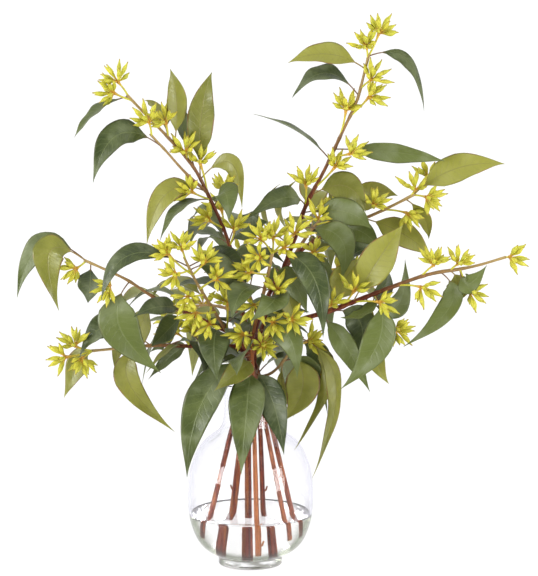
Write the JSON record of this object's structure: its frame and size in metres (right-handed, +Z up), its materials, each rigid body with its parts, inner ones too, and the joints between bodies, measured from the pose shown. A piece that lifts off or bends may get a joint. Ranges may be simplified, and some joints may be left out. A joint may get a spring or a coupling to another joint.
{
  "type": "eucalyptus stems in glass vase",
  "caption": "Leafy seeded eucalyptus stems with clusters of pointed pods, standing in a round-bodied clear glass vase part filled with water.",
  "frame": {"origin": "centre of the flat underside of the vase's foot, on the vase's axis", "axes": "+Z up along the vase's axis, -Y to the front, +X to the right seen from the front"},
  "size_m": [0.5044, 0.2645, 0.5577],
  "materials": {
    "glass": "clear, smooth blown glass",
    "water": "clear, still water with a smooth surface",
    "foliage": "silky matt dark green and olive leaves, yellow-green pods, red-brown fluted stems"
  },
  "bodies": {
    "root": {"vase": "glass", "water": "water", "stem_tall": "foliage", "stem_upper_left": "foliage", "stem_upper_right": "foliage", "stem_right": "foliage", "stem_left": "foliage", "stem_lower_left": "foliage", "stem_front": "foliage"}
  },
  "joints": []
}
